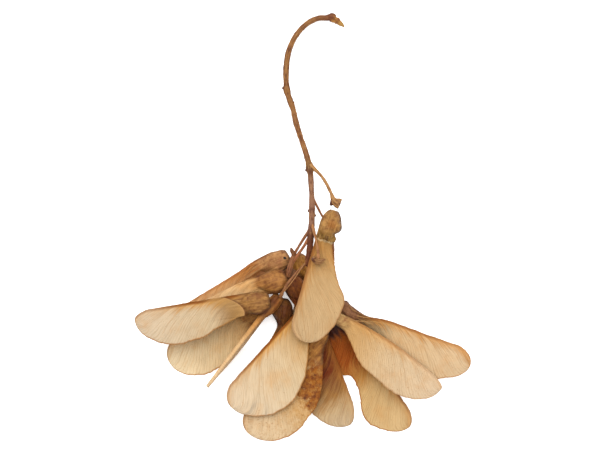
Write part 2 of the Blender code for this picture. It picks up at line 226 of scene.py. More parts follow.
PEDICELS = (
    Twig(((1.7, 17.2, 6.5, 0.8), (2.8, 16.1, 6.8, 0.58), (4.3, 14.7, 7.2, 0.42), (5.6, 13.0, 7.6, 0.42),
          (6.9, 10.6, 8.1, 0.46), (7.7, 8.8, 8.5, 0.5), (7.95, 8.0, 8.6, 0.7), (8.5, 7.1, 8.8, 1.1),
          (9.1, 6.7, 8.9, 1.25), (9.8, 6.4, 9.0, 1.32)), dark=0.12, cup=True, flutes=0.08),
    Twig(((8.2, 8.2, 8.7, 0.4), (7.8, 7.1, 8.9, 0.5), (7.5, 6.2, 9.0, 0.5)), dark=1.25),
    Twig(((2.2, 8.6, 7.4, 0.4), (4.3, 4.4, 7.0, 0.32), (7.6, -2.0, 6.6, 0.32), (8.1, -9.2, 6.6, 0.34),
          (7.6, -16.0, 6.4, 0.5)), red=0.7, dark=0.3),
    Twig(((1.9, -0.2, 8.2, 0.5), (-1.2, -5.0, 8.0, 0.38), (-2.5, -7.2, 7.9, 0.46),
          (-3.0, -8.4, 7.9, 0.64), (-3.5, -9.8, 8.0, 0.7), (-3.8, -11.0, 8.2, 0.74),
          (-4.1, -12.2, 8.2, 0.72), (-4.4, -13.6, 7.8, 0.62)), red=0.6, dark=0.5, flutes=0.06),
    Twig(((1.7, -2.6, 8.2, 0.6), (-0.6, -6.2, 8.1, 0.36), (-2.8, -9.2, 7.9, 0.5),
          (-3.6, -10.6, 8.0, 0.5)), red=0.8),
    Twig(((1.0, -9.6, 8.4, 0.4), (-2.5, -13.1, 9.2, 0.32), (-4.5, -15.6, 9.6, 0.34),
          (-6.0, -18.2, 9.0, 0.4), (-6.3, -18.8, 8.5, 0.52), (-6.5, -19.3, 8.2, 0.48)), red=0.5,
          dark=0.4),
    Twig(((2.3, 0.6, 8.6, 0.5), (3.1, -2.6, 11.0, 0.32), (3.7, -5.6, 12.1, 0.36),
          (3.9, -7.5, 12.6, 0.38), (3.9, -8.6, 12.8, 0.5)), red=0.45),
    Twig(((2.6, -8.1, 12.8, 0.4), (2.8, -8.8, 12.9, 0.8), (3.3, -9.3, 12.8, 0.84),
          (4.0, -9.5, 12.8, 0.76), (4.7, -9.4, 12.9, 0.66), (5.2, -9.1, 13.0, 0.46),
          (5.8, -8.9, 13.2, 0.2)), dark=0.6, flutes=0.14),
    Twig(((2.5, -8.5, 13.2, 0.3), (2.7, -8.9, 13.3, 0.62), (3.0, -9.3, 13.3, 0.5)), red=0.4, dark=1.1),
    Twig(((12.0, -23.6, 6.4, 0.1), (14.0, -24.4, 6.0, 0.15), (16.2, -25.0, 5.5, 0.14),
          (19.0, -25.2, 5.2, 0.08))),
    Twig(((11.5, -25.2, 7.9, 0.1), (13.4, -25.8, 7.9, 0.13), (15.7, -26.1, 7.6, 0.13),
          (18.6, -26.3, 7.0, 0.08))),
    Twig(((12.4, -21.6, 6.0, 0.12), (13.4, -22.9, 5.9, 0.2), (15.1, -23.9, 5.5, 0.16),
          (17.9, -25.0, 5.2, 0.08)), dark=0.5),
    Twig(((0.3, -9.9, 9.0, 0.16), (-1.9, -13.2, 9.8, 0.13), (-3.9, -15.9, 9.9, 0.13),
          (-5.5, -17.9, 9.5, 0.12)), red=0.3),
    Twig(((-2.7, -8.2, 7.8, 0.5), (-3.1, -7.1, 8.3, 0.56), (-3.4, -6.4, 8.7, 0.5),
          (-3.6, -5.8, 9.0, 0.24)), red=0.5, dark=0.8),
    # a lumpy knuckle under the pedicels, its dark colour partly painted shade in the gap between the
    # nutlets
    Twig(((-4.4, -13.5, 7.7, 0.6), (-4.2, -13.4, 6.9, 1.2), (-3.9, -13.2, 6.1, 1.6),
          (-3.8, -13.1, 5.3, 1.2)), red=0.3, dark=0.9),
)

SCARS = (  # x, y and z of each scar and how far it stands out, to the right where positive
    (-5.0, 38.7, 3.7, -0.95), (-3.7, 34.6, 4.1, 0.85), (-1.9, 29.2, 4.8, -0.8),
    (1.4, 15.8, 6.5, -0.9), (2.2, 4.5, 7.8, -0.95), (2.2, 3.2, 7.9, 0.95))


def smooth(x, knots, values):
    """A curve through the values at the knots, read at x."""
    knots = np.asarray(knots, float)
    values = np.asarray(values, float)
    slopes = np.gradient(values, knots)
    left = np.clip(np.searchsorted(knots, x, side="right") - 1, 0, len(knots) - 2)
    gap = knots[left + 1] - knots[left]
    t = (x - knots[left]) / gap
    rise = values[left + 1] - values[left]
    bend_in = gap * slopes[left] - rise
    bend_out = rise - gap * slopes[left + 1]
    return values[left] + rise * t + t * (1 - t) * ((1 - t) * bend_in + t * bend_out)


def step(low, high, x):
    """0 below low and 1 above high, with a smooth rise between them."""
    t = np.clip((x - low) / (high - low), 0, 1)
    return t * t * (3 - 2 * t)


def bell(x, middle, reach):
    """1 at the middle, falling off smoothly on both sides."""
    return np.exp(-(((x - middle) / reach) ** 2))


def grain(x, y, seed):
    """Smooth random values from -1 to 1 over a plane, about one bump a unit."""
    lattice = np.random.default_rng(seed).uniform(-1, 1, (97, 89))
    column, row = np.floor(x).astype(int), np.floor(y).astype(int)
    right, down = x - column, y - row
    right, down = right * right * (3 - 2 * right), down * down * (3 - 2 * down)

    def corner(i, j):
        return lattice[(column + i) % 97, (row + j) % 89]

    upper = corner(0, 0) * (1 - right) + corner(1, 0) * right
    lower = corner(0, 1) * (1 - right) + corner(1, 1) * right
    return upper * (1 - down) + lower * down


def outline(samara, along):
    """Distances of the leading and trailing edges from the straight leading line."""
    length, width, _ = samara.nutlet
    reach = math.dist(samara.start, samara.tip)
    knots = [0.0, 0.5 * length / reach]
    widths = [width, width]
    for share, value in samara.wing:
        knots.append(share)
        widths.append(value)
    knots.append(1.0)
    widths.append(samara.wing[-1][1])
    full = smooth(along, knots, widths)
    to_end = np.clip(1 - along * reach / (0.5 * length), 0, 1)
    base_fall = np.sqrt(1 - (samara.base_round * to_end) ** 2)
    lead_fall = np.sqrt(1 - np.clip((along - LEAD_ROUND) / (1 - LEAD_ROUND), 0, 1) ** 2)
    trail_fall = np.sqrt(1 - np.clip((along - TRAIL_ROUND) / (1 - TRAIL_ROUND), 0, 1) ** 2)
    lead = samara.point * (1 - lead_fall) + 0.5 * width * (1 - base_fall)
    trail = samara.point + (full - samara.point) * trail_fall - 0.5 * width * (1 - base_fall)
    return lead, trail


def place(samara, along, sideways, upward):
    """Points in space from distances along the wing, across it and out of its face."""
    start = np.array(samara.start) + SHIFT
    span = np.array(samara.tip) + SHIFT - start
    ahead = span / np.linalg.norm(span)
    side = np.array([-ahead[1], ahead[0]]) * (1 if samara.trails_left else -1)
    roll = np.radians(samara.roll[0] + (samara.roll[1] - samara.roll[0]) * along)
    height = smooth(along, HEIGHT_AT, samara.heights)
    lateral = PIVOT + (sideways - PIVOT) * np.cos(roll) - upward * np.sin(roll)
    lateral = lateral - samara.bow * np.sin(math.pi * along)
    x = start[0] + span[0] * along + side[0] * lateral
    y = start[1] + span[1] * along + side[1] * lateral
    z = height + (sideways - PIVOT) * np.sin(roll) + upward * np.cos(roll)
    return np.stack([x, y, np.maximum(z, 0)], axis=-1)


def surface_grid():
    """Shares of the length and of the width at each point, closer together near the edges."""
    stations = np.linspace(0, 1, STATIONS)
    stations = 0.999 * (0.45 * (0.5 - 0.5 * np.cos(math.pi * stations)) + 0.55 * stations)
    columns = np.linspace(0, 1, COLUMNS)
    columns = 0.35 * (0.5 - 0.5 * np.cos(math.pi * columns)) + 0.65 * columns
    return np.meshgrid(stations, columns, indexing="ij")


def wing_share(samara, ahead):
    """0 on the nutlet and 1 on the wing."""
    length = samara.nutlet[0]
    return step(0.75 * length, 1.5 * length, ahead)


def fine_edges(samara, along, ahead, seed):
    """The outline with its ragged trailing edge, waist, torn collar and curled corner."""
    lead, trail = outline(samara, along)
    ragged = 0.12 * grain(ahead / 1.7, 0 * along, seed) + 0.1 * grain(ahead / 0.6, 0 * along, seed + 1)
    ragged = ragged * wing_share(samara, ahead) * np.clip((1 - along) * 12, 0, 1)
    trail = trail + ragged
    trail = trail + samara.collar * step(6.8, 7.5, ahead) * (1 - step(8.4, 8.9, ahead))
    trail = trail + samara.lobe * step(6.9, 7.8, ahead) * (1 - step(11.0, 19.0, ahead))
    swell = bell(ahead, *COLLAR_BULGE) - bell(ahead, *COLLAR_NOTCH)
    trail = trail + samara.collar * COLLAR_SWELL * swell
    lead = lead + 0.4 * ragged
    lead = lead + samara.waist * (bell(ahead, *WAIST) - 0.5 * bell(ahead, *SHOULDER))
    return lead, trail


def vein_fan(samara, ahead, across, sideways, seed):
    """Where each point lies among the veins and how strong they are there.

    Veins leave the leading edge almost along it and bend towards the trailing edge.
    """
    past_neck = np.logaddexp(0, (ahead - 1.15 * samara.nutlet[0]) / 1.2) * 1.2
    vein = past_neck - samara.fan * across**0.55
    bends = 0.32 * grain(vein / 2.2, across * 1.4, seed + 2)
    vein = vein + bends + 0.4 * grain(ahead / 5, sideways / 4, seed + 9)
    strength = step(-0.7, 0.6, grain(vein / 1.6, across * 1.5, seed + 10)) * step(0.03, 0.2, across)
    return vein, strength


def nutlet_and_neck(samara, ahead, across):
    """Half the thickness of the nutlet and of the neck that it runs out into."""
    length, _, thickness = samara.nutlet
    lengthwise = (ahead - 0.45 * length) / (0.55 * length)
    outer = np.clip(1 - lengthwise**2 / 1.2, 0, 1) ** 1.7
    fall = np.where(lengthwise > 0, outer, 1 - lengthwise**2)
    swelling = np.sqrt(np.clip(fall - (2 * across - 1) ** 2, 0, 1))
    nutlet = (0.5 * thickness - 0.1) * swelling * samara.flat
    past_nutlet = np.clip(ahead - 0.5 * length, 0, None)
    neck = 0.8 * bell(past_nutlet, 0, 0.75 * length) * (1 - 0.8 * (2 * across - 1) ** 2)
    return np.maximum(np.maximum(nutlet, neck), 0.85 * (nutlet + neck))


def husk_relief(samara, ahead, sideways, seed):
    """Knobs, wrinkles and lengthwise ridges of the nutlet."""
    coarse = grain(ahead / 1.6, sideways / 1.4, seed + 3)
    fine = grain(ahead / 0.7, sideways / 0.7, seed + 4)
    knobs = samara.knobs * (coarse + 0.5 * fine)
    wander = 1.2 * grain(ahead / 4, sideways / 3, seed + 6)
    ridges = 0.1 * np.abs(np.cos(math.pi * sideways / 1.5 + wander))
    wrinkles = 0.35 * samara.collar * grain(ahead / 0.9, sideways / 0.5, seed + 14)
    return knobs + wrinkles - ridges


def torn_flap(ahead, across, sideways, seed):
    """Where the torn skin of the neck stands up, from 0 to 1."""
    torn = ahead + 0.5 * grain(sideways / 0.5, 0 * ahead, seed + 12)
    return step(7.0, 7.5, torn) * (1 - step(8.5, 8.75, torn)) * step(0.3, 0.7, across)


def fold_rise(samara, ahead, from_lead):
    """How far the wing's curled inner corner is lifted."""
    past_fold = ahead - FOLD_START - FOLD_CURVE * (FOLD_ACROSS - from_lead) ** 2
    rise = FOLD_LIFT * samara.lobe * step(-0.25, 0.25, past_fold) * (1 - step(2.0, 9.0, past_fold))
    return rise * step(0.5, 2.0, from_lead)


def samara_surface(samara, seed):
    """The upper and lower grids of a samara and, for its material, what is where on it."""
    along, across = surface_grid()
    ahead = along * math.dist(samara.start, samara.tip)
    length = samara.nutlet[0]
    lead, trail = fine_edges(samara, along, ahead, seed)
    sideways = lead + (trail - lead) * across
    from_lead = sideways - lead
    vein, strength = vein_fan(samara, ahead, across, sideways, seed)

    # Half the thickness
    relief = husk_relief(samara, ahead, sideways, seed)
    body = nutlet_and_neck(samara, ahead, across)
    body = body + relief * step(0.05, 0.6, body)
    rib = 0.5 * RIB * bell(from_lead, 0, RIB_WIDTH) * np.clip(1.15 - along, 0, 1)
    half = 0.5 * samara.membrane * (1 - 0.4 * across**6) + np.maximum(body, rib)
    flap = torn_flap(ahead, across, sideways, seed)
    half = half + samara.collar * flap * (1 + 0.6 * grain(sideways / 0.4, ahead / 0.5, seed + 13))

    # Height of the middle
    near_neck = 1 - step(1.3 * length, 2.4 * length, ahead)
    fibres = (0.05 + 0.12 * samara.fibres) * near_neck * grain(sideways / 0.45, ahead / 5, seed + 11)
    camber = samara.camber * np.clip((along - 0.2) / 0.2, 0, 1) * 4 * across * (1 - across)
    waves = WAVES * grain(ahead / 7.5, sideways / 5.5, seed + 5)
    puckers = PUCKERS * (1 + 0.4 * near_neck) * grain(vein / 1.5, across * 2, seed + 7)
    corrugation = VEIN_RELIEF * np.cos(2 * math.pi * vein / VEIN_STEP) * strength
    uneven = samara.waves * (waves + puckers) + corrugation
    middle = camber + wing_share(samara, ahead) * uneven + fibres + fold_rise(samara, ahead, from_lead)

    upper = place(samara, along, sideways, middle + half)
    lower = place(samara, along, sideways, middle - half)
    border = ahead + 1.2 * grain(sideways / 0.8, ahead / 4, seed + 8)
    nut = 1 - step(0.8 * length, 1.25 * length, border)
    maps = {
        "share": np.stack([along, across], axis=-1),
        "veins": np.stack([vein, nut], axis=-1),
        "edges": np.stack([from_lead, trail - sideways], axis=-1),
        "relief": np.stack([relief / (samara.knobs + 0.1), flap], axis=-1),
    }
    return upper, lower, maps


def closed_grid(upper, lower):
    """Points and quads of the solid between two grids."""
    top = np.arange(upper[..., 0].size).reshape(upper.shape[:2])
    bottom = top + top.size

    def between(first, second):
        return np.stack([first[:-1], first[1:], second[1:], second[:-1]], axis=-1).reshape(-1, 4)

    quads = []
    for row in range(len(top) - 1):
        quads.append(between(top[row], top[row + 1]))
        quads.append(between(bottom[row + 1], bottom[row]))
    quads.append(between(bottom[0], top[0]))
    quads.append(between(top[-1], bottom[-1]))
    quads.append(between(top[:, 0], bottom[:, 0]))
    quads.append(between(bottom[:, -1], top[:, -1]))
    return np.concatenate([upper.reshape(-1, 3), lower.reshape(-1, 3)]), np.concatenate(quads)


def mesh_object(name, points, faces, maps):
    """A smooth mesh. maps gives a UV layer's name and its value at each point."""
    mesh = bpy.data.meshes.new(name)
    mesh.from_pydata((points * MM).tolist(), [], faces.tolist())
    corners = np.empty(len(mesh.loops), np.int32)
    mesh.loops.foreach_get("vertex_index", corners)
    for layer, values in maps.items():
        made = mesh.uv_layers.new(name=layer)
        made.data.foreach_set("uv", values[corners].astype(np.float32).ravel())
    mesh.shade_smooth()
    piece = bpy.data.objects.new(name, mesh)
    bpy.context.scene.collection.objects.link(piece)
    return piece


def linear(colour):
    """A photo colour from 0 to 255 as the surface colour that looks like it under these lights."""
    share = np.array(colour) / 255
    light = np.where(share <= 0.04045, share / 12.92, ((share + 0.055) / 1.055) ** 2.4)
    return tuple(np.maximum(LIT * light - VEIL, DARKEST * LIT * light)) + (1.0,)


def scaled(colour, shares):
    """A photo colour times one share, or times one each for red, green and blue."""
    return tuple(np.minimum(255, np.array(colour) * shares))


class Graph:
    """A material's nodes, made as formulas: each method adds nodes and gives their output."""

    def __init__(self, name):
        self.material = bpy.data.materials.new(name)
        self.material.use_nodes = True
        self.nodes = self.material.node_tree.nodes
        self.links = self.material.node_tree.links
        self.nodes.clear()

    def feed(self, node, key, value):
        """Links an output to a node's input, or sets the input to a plain value."""
        if isinstance(value, bpy.types.NodeSocket):
            self.links.new(value, node.inputs[key])
        else:
            node.inputs[key].default_value = value

    def add(self, kind, inputs, output=0, **settings):
        made = self.nodes.new(kind)
        for name, value in settings.items():
            setattr(made, name, value)
        for key, value in inputs.items():
            self.feed(made, key, value)
        return made.outputs[output]

    def uv(self, layer):
        """The two values of a UV layer."""
        vector = self.add("ShaderNodeUVMap", {}, uv_map=layer)
        first = self.add("ShaderNodeSeparateXYZ", {0: vector})
        return first.node.outputs[0], first.node.outputs[1]

    def vector(self, x, y):
        return self.add("ShaderNodeCombineXYZ", {0: x, 1: y, 2: 0.0})

    def spot_mm(self):
        """The position on the object in millimetres."""
        spot = self.add("ShaderNodeTexCoord", {}, output="Object")
        return self.add("ShaderNodeVectorMath", {0: spot, "Scale": 1000.0}, operation="SCALE")

    def math(self, operation, a, b=0.0, c=0.0):
        return self.add("ShaderNodeMath", {0: a, 1: b, 2: c}, operation=operation)

    def times(self, *values):
        """The product of two or more values."""
        product = values[0]
        for value in values[1:]:
            product = self.math("MULTIPLY", product, value)
        return product

    def less(self, a, b):
        return self.math("SUBTRACT", a, b)

    def range(self, value, low, high, to_low=0.0, to_high=1.0):
        return self.add("ShaderNodeMapRange", {0: value, 1: low, 2: high, 3: to_low, 4: to_high},
                        interpolation_type="SMOOTHSTEP")

    def noise(self, vector, scale, detail=2.0, roughness=0.5):
        inputs = {"Vector": vector, "Scale": scale, "Detail": detail, "Roughness": roughness}
        return self.add("ShaderNodeTexNoise", inputs)

    def streaks(self, x, x_scale, y, y_scale, detail=2.0, roughness=0.5):
        """Noise over two values, each with its own scale."""
        vector = self.vector(self.times(x, x_scale), self.times(y, y_scale))
        return self.noise(vector, 1.0, detail, roughness)

    def shifted(self, value, noise, amount):
        """A value moved back and forth by a noise."""
        return self.math("MULTIPLY_ADD", self.less(noise, 0.5), amount, value)

    def mix(self, share, a, b, blend="MIX"):
        made = self.nodes.new("ShaderNodeMix")
        made.data_type = "RGBA"
        made.blend_type = blend
        for key, value in ((0, share), (6, a), (7, b)):
            self.feed(made, key, value)
        return made.outputs[2]

    def paint(self, share, colour, over):
        """A colour with a share of a photo colour over it."""
        return self.mix(share, colour, linear(over))

    def tint(self, share, colour, factors):
        """A colour with a share of itself times factors for red, green and blue."""
        return self.mix(share, colour, self.mix(1.0, colour, (*factors, 1), blend="MULTIPLY"))

    def ramp(self, share, stops):
        made = self.nodes.new("ShaderNodeValToRGB")
        self.links.new(share, made.inputs[0])
        ramp = made.color_ramp
        while len(ramp.elements) < len(stops):
            ramp.elements.new(0.5)
        for element, (spot, colour) in zip(ramp.elements, stops):
            element.position = spot
            element.color = linear(colour)
        return made.outputs[0]

    def finish(self, shader):
        """The material, with this shader as its surface."""
        out = self.nodes.new("ShaderNodeOutputMaterial")
        self.links.new(shader, out.inputs["Surface"])
        return self.material


class SamaraGraph(Graph):
    """A samara's material, with what is where on it and the noises that its parts share."""

    def __init__(self, samara):
        super().__init__(samara.name)
        self.along, self.across = self.uv("share")
        self.vein, self.nut = self.uv("veins")
        self.from_lead, self.from_trail = self.uv("edges")
        self.relief, self.flap = self.uv("relief")
        self.spot = self.spot_mm()
        self.ahead = self.times(self.along, math.dist(samara.start, samara.tip))
        self.streak = self.streaks(self.vein, 0.75, self.across, 1.2, 4, 0.65)
        self.fleck = self.noise(self.spot, 2.6, 2, 0.6)
        self.grain_line = self.streaks(self.from_lead, 1.7, self.ahead, 0.16, 2, 0.6)
        self.ragged_lead = self.shifted(self.from_lead, self.streak, -6.0)


def vein_lines(graph):
    """Veins of uneven strength and the finer ones between them."""
    ridge = graph.math("COSINE", graph.times(graph.vein, 2 * math.pi / VEIN_STEP))
    faint = graph.streaks(graph.vein, 1.1, graph.across, 1.5)
    main_line = graph.times(graph.range(ridge, 0.3, 1.0), graph.range(faint, 0.35, 0.6, 0.15, 1.0))
    threads = graph.streaks(graph.vein, 2.4, graph.across, 3.0)
    threads = graph.math("ABSOLUTE", graph.less(threads, 0.5))
    return main_line, graph.range(threads, 0.0, 0.05, 1.0, 0.0)


def blade_colour(graph, samara, band):
    """The wing's colour from neck to tip, with the orange band along its leading edge."""
    tone, neck, end = samara.tone, samara.neck, samara.neck_end
    halfway = tuple(0.45 * a + 0.55 * b for a, b in zip(neck, tone))
    colour = graph.ramp(graph.shifted(graph.along, graph.streak, 0.25), (
        (0.0, neck), (end - 0.14, neck), (end, halfway), (end + 0.1, tone),
        (0.97, scaled(tone, (1.02, 1.05, 1.12)))))
    lead_band = graph.range(graph.ragged_lead, 0.4, 3.1, 0.9 * samara.rim, 0.0)
    lead_band = graph.times(lead_band, graph.range(graph.along, 0.5, 0.92, 1.0, samara.tip_band))
    near_neck = graph.range(graph.along, 0.1, end, 0.75, 0.0)
    colour = graph.mix(lead_band, colour, graph.mix(near_neck, linear(band), linear(neck)))
    patch = graph.noise(graph.spot, 0.2, 3, 0.55)
    colour = graph.paint(graph.range(patch, 0.48, 0.78, 0.0, 0.3), colour, band)
    colour = graph.paint(graph.range(graph.streak, 0.52, 0.74, 0.0, 0.4), colour, scaled(band, 0.96))
    return graph.tint(graph.range(graph.streak, 0.3, 0.48, 0.5, 0.0), colour, (1.12, 1.14, 1.18))


def streaked(graph, samara, colour):
    """The colour with dark streaks along the veins, strongest near the neck and the leading edge."""
    end = samara.neck_end
    inner = graph.range(graph.along, end - 0.25, end + 0.1, samara.lines, 0.2 * samara.lines)
    near_lead = graph.range(graph.ragged_lead, 1.0, 5.5, 0.6 * samara.lines, 0.0)
    inner = graph.math("MAXIMUM", inner, near_lead)
    streak = graph.streaks(graph.vein, 1.5, graph.across, 0.9, 3, 0.6)
    return graph.tint(graph.times(graph.range(streak, 0.5, 0.62), inner), colour, (0.5, 0.34, 0.2))


def fibrous(graph, samara, colour):
    """The colour with dark and pale lengthwise fibres on the neck."""
    end = samara.neck_end
    fibre = graph.streaks(graph.from_lead, 2.6, graph.ahead, 0.13, 2, 0.6)
    on_neck = graph.range(graph.along, end - 0.16, end + 0.02, samara.fibres, 0.0)
    colour = graph.tint(graph.times(graph.range(fibre, 0.5, 0.58), on_neck), colour, (0.5, 0.4, 0.3))
    pale = graph.times(graph.range(fibre, 0.42, 0.48, 0.5, 0.0), on_neck)
    return graph.paint(pale, colour, (206, 170, 118))


def edged(graph, samara, colour, edge):
    """The colour with specks, painted shade along the trailing side of the neck and dark lines along both
    edges.
    """
    specks = graph.range(graph.fleck, 0.7 - 0.1 * samara.specks, 0.78 - 0.1 * samara.specks, 0.0, 0.6)
    colour = graph.paint(specks, colour, edge)
    length = samara.nutlet[0]
    # painted shade along the trailing side of the neck, strongest near the nutlet
    trailing = graph.range(graph.across, 0.45, 0.9, 0.0, 0.7 * samara.fibres)
    neck = graph.range(graph.ahead, 1.1 * length, 1.7 * length, 1.0, 0.0)
    colour = graph.paint(graph.times(trailing, neck), colour, (112, 72, 42))
    lead_line = graph.range(graph.from_lead, 0.35, 1.15, samara.rim, 0.0)
    lead_line = graph.times(lead_line, graph.range(graph.along, 0.5, 0.95, 1.0, 0.5))
    colour = graph.paint(lead_line, colour, scaled(samara.tone, (0.62, 0.41, 0.14)))
    rim = graph.range(graph.from_trail, 0.1, 0.56, 0.82 * samara.rim, 0.0)
    return graph.paint(rim, colour, scaled(edge, 1.1))


def rotten(graph, colour):
    """The colour with a ragged brown stain, its pale halo and blotches."""
    ragged = graph.shifted(graph.along, graph.noise(graph.spot, 0.5, 5, 0.7), 0.5)
    amount = graph.times(graph.range(ragged, 0.2, 0.3), graph.range(ragged, 0.5, 0.6, 1.0, 0.0),
                         graph.range(graph.across, 0.35, 0.6, 0.0, 0.95))
    rot = graph.ramp(graph.noise(graph.spot, 0.75, 4, 0.7), (
        (0.34, (92, 44, 14)), (0.45, (136, 73, 25)), (0.62, (174, 104, 42))))
    halo = graph.times(graph.range(ragged, 0.35, 0.45), graph.range(ragged, 0.5, 0.85, 0.7, 0.0))
    colour = graph.paint(halo, colour, (214, 160, 92))
    colour = graph.mix(amount, colour, rot)
    blotch = graph.range(graph.noise(graph.spot, 0.8, 4, 0.75), 0.48, 0.64, 0.0, 0.6)
    blotch = graph.times(blotch, graph.range(graph.along, 0.4, 0.95, 1.0, 0.45))
    return graph.paint(blotch, colour, (190, 132, 70))


def wing_colour(graph, samara, main_line, fine_line):
    band = scaled(samara.tone, (0.96, 0.78, 0.48))
    edge = scaled(samara.tone, (0.7, 0.5, 0.2))
    colour = blade_colour(graph, samara, band)
    colour = graph.tint(graph.times(main_line, 0.31), colour, (0.74, 0.62, 0.46))
    colour = graph.tint(graph.times(fine_line, 0.2), colour, (0.74, 0.62, 0.48))
    colour = streaked(graph, samara, colour)
    colour = fibrous(graph, samara, colour)
    colour = edged(graph, samara, colour, edge)
    if samara.stain:
        colour = rotten(graph, colour)
    return colour


def husk_colour(graph, samara):
    """The nutlet: mottled brown with lengthwise streaks, darker at its base, with painted shade at its
    edges and in its dents and painted highlights on its knobs.
    """
    nut = samara.nut
    mottle = graph.noise(graph.spot, 0.6 + 0.6 * samara.collar, 4, 0.68)
    husk = graph.ramp(mottle, (
        (0.32, scaled(nut, (0.76, 0.66, 0.66))), (0.47, nut),
        (0.6, scaled(nut, 1.1)), (0.7, scaled(nut, (1.24, 1.28, 1.3)))))
    purple = graph.noise(graph.spot, 0.36, 2, 0.5)
    base = 0.2 if samara.collar else 0.6
    for value, low, high, at_low, at_high, shares in (
        (graph.grain_line, 0.5, 0.66, 0.0, 0.45, (0.7, 0.62, 0.56)),
        (graph.grain_line, 0.34, 0.46, 0.5, 0.0, 1.22),
        (purple, 0.52, 0.66, 0.0, 0.5, (0.86, 0.74, 0.78)),
        (graph.ahead, 0.1, 0.9, base, 0.0, 0.4),
        # these two: painted shade along both edges of the nutlet, where it rounds off
        (graph.across, 0.0, 0.14, 0.5, 0.0, 0.6),
        (graph.across, 0.8, 1.0, 0.0, 0.8, (0.42, 0.36, 0.34)),
        (graph.fleck, 0.66, 0.74, 0.0, 0.4, 0.55),
        # painted shade in the dents of the relief, and on the next line painted highlights on its knobs
        (graph.relief, -1.1, -0.2, 0.42, 0.0, (0.6, 0.48, 0.42)),
        (graph.relief, 0.1, 0.9, 0.0, 0.5, (1.18, 1.22, 1.24)),
    ):
        husk = graph.paint(graph.range(value, low, high, at_low, at_high), husk, scaled(nut, shares))
    return husk


def pitted(graph, samara, colour):
    """The colour with painted shade for a pit at the inner end of the nutlet."""
    off = graph.vector(graph.less(graph.ahead, PIT[0]), graph.less(graph.from_lead, PIT[1]))
    off = graph.add("ShaderNodeVectorMath", {0: off}, output="Value", operation="LENGTH")
    return graph.paint(graph.range(off, 0.28, 0.5, samara.pit, 0.0), colour, (34, 18, 8))


def collared(graph, colour):
    """The colour with a red-brown belly, torn skin with painted shade in its folds, and a cream line past
    it.
    """
    belly = graph.times(
        graph.range(graph.across, 0.25, 0.45), graph.range(graph.across, 0.6, 0.85, 1.0, 0.0),
        graph.range(graph.ahead, 2.4, 3.4), graph.range(graph.ahead, 4.4, 5.6, 1.0, 0.0), 0.4)
    colour = graph.paint(belly, colour, (160, 96, 46))
    outer = graph.times(graph.range(graph.ahead, 5.2, 6.8, 0.0, 0.6), graph.nut)
    colour = graph.paint(outer, colour, (132, 96, 50))
    ragged = graph.noise(graph.spot, 1.6, 3, 0.6)
    ragged = graph.math("MULTIPLY_ADD", ragged, 1.2, graph.less(graph.ahead, 0.6))
    skin = graph.times(graph.range(ragged, 6.9, 7.4), graph.range(ragged, 8.5, 8.7, 1.0, 0.0))
    colour = graph.paint(graph.times(skin, 0.6), colour, (132, 100, 54))
    # painted shade in the folds of the torn skin
    folds = graph.range(graph.streaks(graph.from_lead, 2.2, graph.ahead, 0.3), 0.48, 0.6)
    folds = graph.times(folds, graph.math("MAXIMUM", skin, graph.flap), 0.7)
    colour = graph.paint(folds, colour, (84, 56, 28))
    cream = graph.times(graph.range(ragged, 8.6, 8.75), graph.range(ragged, 9.0, 9.25, 1.0, 0.0), 0.4)
    return graph.paint(cream, colour, (240, 214, 166))


def creased(graph, samara, colour):
    """The colour with grey folds near the tip."""
    crease = graph.range(graph.streaks(graph.vein, 0.9, graph.across, 0.6), 0.5, 0.58)
    crease = graph.times(crease, graph.range(graph.along, 0.8, 0.9, 0.0, samara.creases),
                         graph.range(graph.across, 0.4, 0.7))
    return graph.paint(crease, colour, (186, 162, 134))


def folded(graph, colour):
    """The colour with the curled corner, a painted highlight along its edge and the painted shadow that
    it casts.
    """
    bend = graph.less(FOLD_ACROSS, graph.from_lead)
    past_fold = graph.less(graph.less(graph.ahead, FOLD_START), graph.times(bend, bend, FOLD_CURVE))
    corner = graph.mix(graph.range(past_fold, 2.0, 8.0), linear((190, 143, 86)), colour)
    colour = graph.mix(graph.range(past_fold, -0.1, 0.2, 0.0, 0.72), colour, corner)
    # painted highlight along the edge of the fold
    painted_lip_highlight = graph.range(graph.math("ABSOLUTE", past_fold), 0.0, 0.3, 0.5, 0.0)
    colour = graph.paint(painted_lip_highlight, colour, (214, 160, 104))
    # painted shadow below the fold
    shade = graph.range(past_fold, -1.4, -0.3, 0.0, 0.6)
    shade = graph.times(shade, graph.range(past_fold, -0.2, 0.0, 1.0, 0.0))
    return graph.paint(shade, colour, (104, 68, 38))


def samara_material(samara):
    """Dry wing with veins, thin enough for some light to come through, and a brown husk."""
    graph = SamaraGraph(samara)
    main_line, fine_line = vein_lines(graph)
    colour = wing_colour(graph, samara, main_line, fine_line)
    colour = graph.mix(graph.nut, colour, husk_colour(graph, samara))
    if samara.pit:
        colour = pitted(graph, samara, colour)
    if samara.collar:
        colour = collared(graph, colour)
    if samara.creases:
        colour = creased(graph, samara, colour)
    if samara.lobe:
        colour = folded(graph, colour)

    wing = graph.less(1.0, graph.nut)
    height = graph.math("MULTIPLY_ADD", main_line, 0.7, graph.times(fine_line, 0.35))
    height = graph.times(height, wing)
    height = graph.math("MULTIPLY_ADD", graph.times(graph.grain_line, graph.nut), 1.6, height)
    height = graph.math("MULTIPLY_ADD", graph.noise(graph.spot, 2.4, 3, 0.6), 0.7, height)
    bump = graph.add("ShaderNodeBump", {"Height": height, "Distance": 0.0001, "Strength": 0.8})
    surface = graph.add("ShaderNodeBsdfPrincipled", {
        "Base Color": colour, "Roughness": 0.62, "Normal": bump, "Specular IOR Level": 0.18})
    through = graph.mix(1.0, colour, linear((255, 222, 165)), blend="MULTIPLY")
    glow = graph.add("ShaderNodeBsdfTranslucent", {"Color": through, "Normal": bump})
    thin = graph.times(graph.range(graph.from_lead, 0.4, 1.6, 0.05, 0.25), wing)
    return graph.finish(graph.add("ShaderNodeMixShader", {0: thin, 1: surface, 2: glow}))


